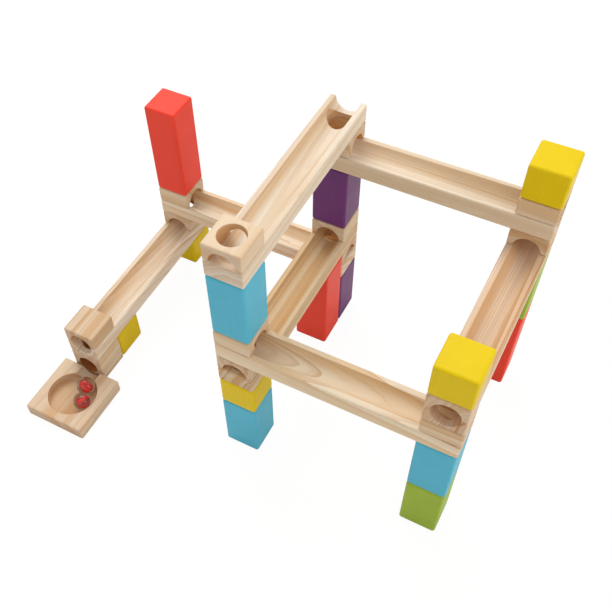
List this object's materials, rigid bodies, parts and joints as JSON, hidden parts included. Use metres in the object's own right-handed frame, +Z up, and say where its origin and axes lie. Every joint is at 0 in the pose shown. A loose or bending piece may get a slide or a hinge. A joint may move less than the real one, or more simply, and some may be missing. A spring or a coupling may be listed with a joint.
{
  "type": "marble run",
  "caption": "Wooden marble run: grooved pine tracks wind down between towers of painted blocks, through tunnel blocks with drop holes, into a tray with glass marbles.",
  "frame": {"origin": "middle of the footprint, on the floor", "axes": "+Z up; +X from the far left tower towards the right-hand towers; +Y from the tray towards the back towers"},
  "size_m": [0.3556, 0.2476, 0.2397],
  "materials": {
    "pine": "smooth sanded, unvarnished",
    "yellow_paint": "satin water-based paint on wood",
    "blue_paint": "satin water-based paint on wood",
    "green_paint": "satin water-based paint on wood",
    "purple_paint": "satin water-based paint on wood",
    "red_paint": "satin water-based paint on wood",
    "marble_glass": "clear polished glass with a red swirl inside"
  },
  "bodies": {
    "base": {"front_left_blue_low": "blue_paint", "front_left_yellow_low": "yellow_paint", "front_right_green_low": "green_paint", "front_right_blue_low": "blue_paint", "back_middle_purple_low": "purple_paint", "back_right_red_low": "red_paint", "back_right_green_low": "green_paint", "far_left_yellow_low": "yellow_paint", "track_5_prop_red": "red_paint", "track_7_prop_yellow": "yellow_paint", "exit_block": "pine"},
    "tray": {"tray": "pine"},
    "marble_front": {"marble_front": "marble_glass"},
    "marble_back": {"marble_back": "marble_glass"},
    "run_7": {"track_7": "pine", "drop_block_7": "pine"},
    "bridge_7": {"bridge_block_7": "pine"},
    "run_6": {"track_6": "pine", "drop_block_6": "pine"},
    "bridge_6": {"bridge_block_6": "pine"},
    "red_cap": {"far_left_red_cap": "red_paint"},
    "run_5": {"track_5": "pine", "drop_block_5": "pine", "bridge_block_5": "pine", "back_middle_purple_high": "purple_paint"},
    "run_4": {"track_4": "pine", "drop_block_4": "pine", "bridge_block_4": "pine", "front_left_blue_high": "blue_paint"},
    "run_3": {"track_3": "pine", "drop_block_3": "pine"},
    "bridge_3": {"bridge_block_3": "pine"},
    "front_yellow_cap": {"front_right_yellow_cap": "yellow_paint"},
    "run_2": {"track_2": "pine", "drop_block_2": "pine"},
    "bridge_2": {"bridge_block_2": "pine"},
    "back_yellow_cap": {"back_right_yellow_cap": "yellow_paint"},
    "run_1": {"track_1": "pine"},
    "start_block": {"start_block": "pine"}
  },
  "joints": [
    {"name": "run_7_lift", "type": "slide", "parent": "base", "child": "run_7", "axis": [0, 0, 1], "range_m": [0, 0.025]},
    {"name": "run_6_lift", "type": "slide", "parent": "run_7", "child": "run_6", "axis": [0, 0, 1], "range_m": [0, 0.025]},
    {"name": "run_5_lift", "type": "slide", "parent": "run_6", "child": "run_5", "axis": [0, 0, 1], "range_m": [0, 0.025]},
    {"name": "run_4_lift", "type": "slide", "parent": "run_5", "child": "run_4", "axis": [0, 0, 1], "range_m": [0, 0.025]},
    {"name": "run_3_lift", "type": "slide", "parent": "run_4", "child": "run_3", "axis": [0, 0, 1], "range_m": [0, 0.025]},
    {"name": "run_2_lift", "type": "slide", "parent": "run_3", "child": "run_2", "axis": [0, 0, 1], "range_m": [0, 0.025]},
    {"name": "run_1_lift", "type": "slide", "parent": "run_2", "child": "run_1", "axis": [0, 0, 1], "range_m": [0, 0.025]},
    {"name": "bridge_7_lift", "type": "slide", "parent": "run_7", "child": "bridge_7", "axis": [0, 0, 1], "range_m": [0, 0.025]},
    {"name": "bridge_6_lift", "type": "slide", "parent": "run_6", "child": "bridge_6", "axis": [0, 0, 1], "range_m": [0, 0.025]},
    {"name": "red_cap_lift", "type": "slide", "parent": "bridge_6", "child": "red_cap", "axis": [0, 0, 1], "range_m": [0, 0.025]},
    {"name": "bridge_3_lift", "type": "slide", "parent": "run_3", "child": "bridge_3", "axis": [0, 0, 1], "range_m": [0, 0.025]},
    {"name": "front_yellow_cap_lift", "type": "slide", "parent": "bridge_3", "child": "front_yellow_cap", "axis": [0, 0, 1], "range_m": [0, 0.025]},
    {"name": "bridge_2_lift", "type": "slide", "parent": "run_2", "child": "bridge_2", "axis": [0, 0, 1], "range_m": [0, 0.025]},
    {"name": "back_yellow_cap_lift", "type": "slide", "parent": "bridge_2", "child": "back_yellow_cap", "axis": [0, 0, 1], "range_m": [0, 0.025]},
    {"name": "start_block_lift", "type": "slide", "parent": "run_1", "child": "start_block", "axis": [0, 0, 1], "range_m": [0, 0.025]},
    {"name": "tray_pull", "type": "slide", "parent": "base", "child": "tray", "axis": [0, -1, 0], "range_m": [0, 0.04]},
    {"name": "marble_front_roll", "type": "hinge", "parent": "tray", "child": "marble_front", "pos_m": [-0.14875, -0.09475, 0.0045], "axis": [0, 0, 1], "range_deg": [-110, 0]},
    {"name": "marble_back_roll", "type": "hinge", "parent": "tray", "child": "marble_back", "pos_m": [-0.14875, -0.09475, 0.0045], "axis": [0, 0, 1], "range_deg": [0, 95]}
  ]
}
